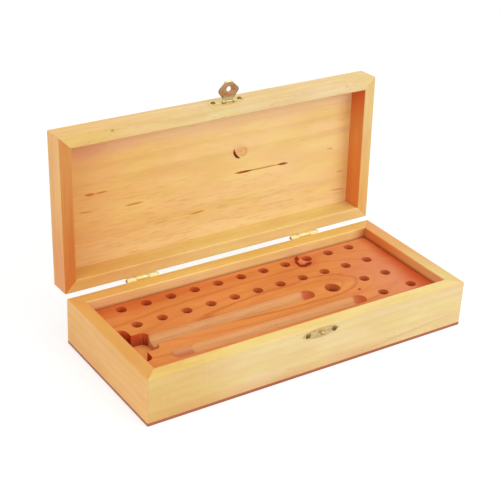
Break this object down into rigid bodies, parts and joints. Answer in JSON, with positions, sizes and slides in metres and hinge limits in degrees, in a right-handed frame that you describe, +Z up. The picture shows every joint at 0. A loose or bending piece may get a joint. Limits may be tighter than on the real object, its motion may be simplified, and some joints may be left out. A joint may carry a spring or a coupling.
{
  "type": "tool storage caddy",
  "caption": "Flat hinged wooden tool box: a reddish block drilled with tool holes, two handle grooves and a T-shaped pocket in a pale mitred base, with a stop-hinged lid, hasp and catch hook.",
  "frame": {"origin": "middle of the underside, on the surface that the box stands on", "axes": "+X to the box's right end, the front with the clasp faces -Y, +Z up"},
  "size_m": [0.3, 0.1636, 0.1939],
  "materials": {
    "pale_wood": "satin, sanded",
    "lid_wood": "satin, sanded",
    "red_wood": "satin, sanded",
    "panel_wood": "satin",
    "brass": "satin",
    "bronze": "satin",
    "screw_metal": "dull"
  },
  "bodies": {
    "base": {"base_front_wall": "pale_wood", "base_back_wall": "pale_wood", "base_left_wall": "pale_wood", "base_right_wall": "pale_wood", "base_bottom_panel": "panel_wood", "tool_block": "red_wood", "catch_plate": "brass", "catch_screws": "screw_metal", "left_hinge_base_leaf": "brass", "right_hinge_base_leaf": "brass", "left_hinge_pin": "bronze", "right_hinge_pin": "bronze", "hinge_base_screws": "screw_metal"},
    "lid": {"lid_front_rail": "lid_wood", "lid_back_rail": "lid_wood", "lid_left_rail": "lid_wood", "lid_right_rail": "lid_wood", "lid_panel": "lid_wood", "left_hinge_lid_leaf": "brass", "right_hinge_lid_leaf": "brass", "hinge_lid_screws": "screw_metal", "clasp_plate": "brass", "clasp_pin": "bronze", "clasp_screws": "screw_metal"},
    "hasp": {"clasp_hasp": "bronze"}
  },
  "joints": [
    {"name": "lid_hinge", "type": "hinge", "parent": "base", "child": "lid", "pos_m": [0, 0.0682, 0.04115], "axis": [1, 0, 0], "range_deg": [0, 92.2]},
    {"name": "hasp_hinge", "type": "hinge", "parent": "lid", "child": "hasp", "pos_m": [0.003, 0.07876, 0.17664], "axis": [1, 0, 0], "range_deg": [-88, 90]}
  ]
}
